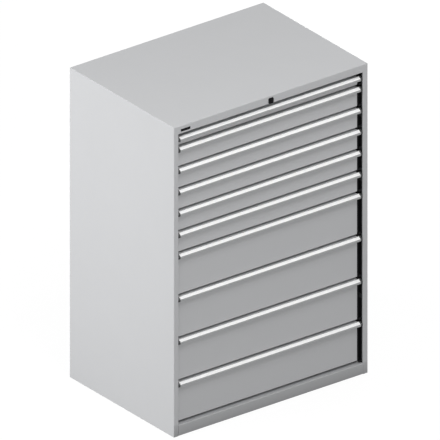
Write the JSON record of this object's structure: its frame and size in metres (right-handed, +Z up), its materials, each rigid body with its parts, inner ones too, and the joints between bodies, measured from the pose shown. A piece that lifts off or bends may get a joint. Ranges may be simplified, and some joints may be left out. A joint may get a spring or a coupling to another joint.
{
  "type": "drawer cabinet",
  "caption": "Floor-standing sheet-steel drawer cabinet: full-width drawers on roller slides, strip handles with label shelves, one central lock in the header.",
  "frame": {"origin": "on the floor, under the centre of the cabinet's footprint", "axes": "+Z up, -Y out of the front where the drawers open, +X to the right seen from the front"},
  "size_m": [1.023, 0.729, 1.45],
  "materials": {
    "housing_paint": "satin",
    "plinth_paint": "satin",
    "front_paint": "satin",
    "tray_steel": "satin",
    "handle_aluminium": "anodised",
    "zinc_steel": "zinc plated",
    "black_steel": "matt black",
    "guide_plastic": "matt",
    "lock_black": "satin black"
  },
  "bodies": {
    "housing": {"housing_side_left": "housing_paint", "housing_side_right": "housing_paint", "housing_top": "housing_paint", "housing_rear": "housing_paint", "housing_base": "housing_paint", "front_plinth": "plinth_paint", "header_rail": "zinc_steel", "front_upright_left": "black_steel", "front_upright_right": "black_steel", "rear_upright_left": "zinc_steel", "rear_upright_right": "zinc_steel", "cabinet_rails_left": "zinc_steel", "cabinet_rails_right": "zinc_steel", "lock_housing": "lock_black", "lock_guides": "guide_plastic"},
    "drawer_01": {"drawer_01_tray": "tray_steel", "drawer_01_front": "front_paint", "drawer_01_handle": "handle_aluminium"},
    "carriage_01": {"drawer_01_carriages": "zinc_steel"},
    "drawer_02": {"drawer_02_tray": "tray_steel", "drawer_02_front": "front_paint", "drawer_02_handle": "handle_aluminium"},
    "carriage_02": {"drawer_02_carriages": "zinc_steel"},
    "drawer_03": {"drawer_03_tray": "tray_steel", "drawer_03_front": "front_paint", "drawer_03_handle": "handle_aluminium"},
    "carriage_03": {"drawer_03_carriages": "zinc_steel"},
    "drawer_04": {"drawer_04_tray": "tray_steel", "drawer_04_front": "front_paint", "drawer_04_handle": "handle_aluminium"},
    "carriage_04": {"drawer_04_carriages": "zinc_steel"},
    "drawer_05": {"drawer_05_tray": "tray_steel", "drawer_05_front": "front_paint", "drawer_05_handle": "handle_aluminium"},
    "carriage_05": {"drawer_05_carriages": "zinc_steel"},
    "drawer_06": {"drawer_06_tray": "tray_steel", "drawer_06_front": "front_paint", "drawer_06_handle": "handle_aluminium"},
    "carriage_06": {"drawer_06_carriages": "zinc_steel"},
    "drawer_07": {"drawer_07_tray": "tray_steel", "drawer_07_front": "front_paint", "drawer_07_handle": "handle_aluminium"},
    "carriage_07": {"drawer_07_carriages": "zinc_steel"},
    "drawer_08": {"drawer_08_tray": "tray_steel", "drawer_08_front": "front_paint", "drawer_08_handle": "handle_aluminium"},
    "carriage_08": {"drawer_08_carriages": "zinc_steel"},
    "drawer_09": {"drawer_09_tray": "tray_steel", "drawer_09_front": "front_paint", "drawer_09_handle": "handle_aluminium"},
    "carriage_09": {"drawer_09_carriages": "zinc_steel"},
    "drawer_10": {"drawer_10_tray": "tray_steel", "drawer_10_front": "front_paint", "drawer_10_handle": "handle_aluminium"},
    "carriage_10": {"drawer_10_carriages": "zinc_steel"},
    "lock_bar": {"lock_bar": "black_steel"},
    "transfer_bar": {"lock_transfer_bar": "zinc_steel"},
    "lock_barrel": {"lock_plug": "lock_black", "lock_cam": "zinc_steel"}
  },
  "joints": [
    {"name": "drawer_01_slide", "type": "slide", "parent": "housing", "child": "drawer_01", "axis": [0, -1, 0], "range_m": [0, 0.62]},
    {"name": "carriage_01_slide", "type": "slide", "parent": "housing", "child": "carriage_01", "axis": [0, -1, 0], "range_m": [0, 0.31]},
    {"name": "drawer_02_slide", "type": "slide", "parent": "housing", "child": "drawer_02", "axis": [0, -1, 0], "range_m": [0, 0.62]},
    {"name": "carriage_02_slide", "type": "slide", "parent": "housing", "child": "carriage_02", "axis": [0, -1, 0], "range_m": [0, 0.31]},
    {"name": "drawer_03_slide", "type": "slide", "parent": "housing", "child": "drawer_03", "axis": [0, -1, 0], "range_m": [0, 0.62]},
    {"name": "carriage_03_slide", "type": "slide", "parent": "housing", "child": "carriage_03", "axis": [0, -1, 0], "range_m": [0, 0.31]},
    {"name": "drawer_04_slide", "type": "slide", "parent": "housing", "child": "drawer_04", "axis": [0, -1, 0], "range_m": [0, 0.62]},
    {"name": "carriage_04_slide", "type": "slide", "parent": "housing", "child": "carriage_04", "axis": [0, -1, 0], "range_m": [0, 0.31]},
    {"name": "drawer_05_slide", "type": "slide", "parent": "housing", "child": "drawer_05", "axis": [0, -1, 0], "range_m": [0, 0.62]},
    {"name": "carriage_05_slide", "type": "slide", "parent": "housing", "child": "carriage_05", "axis": [0, -1, 0], "range_m": [0, 0.31]},
    {"name": "drawer_06_slide", "type": "slide", "parent": "housing", "child": "drawer_06", "axis": [0, -1, 0], "range_m": [0, 0.62]},
    {"name": "carriage_06_slide", "type": "slide", "parent": "housing", "child": "carriage_06", "axis": [0, -1, 0], "range_m": [0, 0.31]},
    {"name": "drawer_07_slide", "type": "slide", "parent": "housing", "child": "drawer_07", "axis": [0, -1, 0], "range_m": [0, 0.62]},
    {"name": "carriage_07_slide", "type": "slide", "parent": "housing", "child": "carriage_07", "axis": [0, -1, 0], "range_m": [0, 0.31]},
    {"name": "drawer_08_slide", "type": "slide", "parent": "housing", "child": "drawer_08", "axis": [0, -1, 0], "range_m": [0, 0.62]},
    {"name": "carriage_08_slide", "type": "slide", "parent": "housing", "child": "carriage_08", "axis": [0, -1, 0], "range_m": [0, 0.31]},
    {"name": "drawer_09_slide", "type": "slide", "parent": "housing", "child": "drawer_09", "axis": [0, -1, 0], "range_m": [0, 0.62]},
    {"name": "carriage_09_slide", "type": "slide", "parent": "housing", "child": "carriage_09", "axis": [0, -1, 0], "range_m": [0, 0.31]},
    {"name": "drawer_10_slide", "type": "slide", "parent": "housing", "child": "drawer_10", "axis": [0, -1, 0], "range_m": [0, 0.62]},
    {"name": "carriage_10_slide", "type": "slide", "parent": "housing", "child": "carriage_10", "axis": [0, -1, 0], "range_m": [0, 0.31]},
    {"name": "lock_bar_lift", "type": "slide", "parent": "housing", "child": "lock_bar", "axis": [0, 0, 1], "range_m": [0, 0.008]},
    {"name": "transfer_bar_shift", "type": "slide", "parent": "housing", "child": "transfer_bar", "axis": [1, 0, 0], "range_m": [0, 0.008]},
    {"name": "lock_turn", "type": "hinge", "parent": "housing", "child": "lock_barrel", "pos_m": [0, -0.3625, 1.428], "axis": [0, 1, 0], "range_deg": [0, 90]}
  ],
  "couplings": [
    {"joint": "carriage_01_slide", "follows": "drawer_01_slide", "ratio": 0.5},
    {"joint": "carriage_02_slide", "follows": "drawer_02_slide", "ratio": 0.5},
    {"joint": "carriage_03_slide", "follows": "drawer_03_slide", "ratio": 0.5},
    {"joint": "carriage_04_slide", "follows": "drawer_04_slide", "ratio": 0.5},
    {"joint": "carriage_05_slide", "follows": "drawer_05_slide", "ratio": 0.5},
    {"joint": "carriage_06_slide", "follows": "drawer_06_slide", "ratio": 0.5},
    {"joint": "carriage_07_slide", "follows": "drawer_07_slide", "ratio": 0.5},
    {"joint": "carriage_08_slide", "follows": "drawer_08_slide", "ratio": 0.5},
    {"joint": "carriage_09_slide", "follows": "drawer_09_slide", "ratio": 0.5},
    {"joint": "carriage_10_slide", "follows": "drawer_10_slide", "ratio": 0.5},
    {"joint": "transfer_bar_shift", "follows": "lock_bar_lift", "ratio": 1},
    {"joint": "lock_turn", "follows": "lock_bar_lift", "rad_per_m": 196.35}
  ]
}
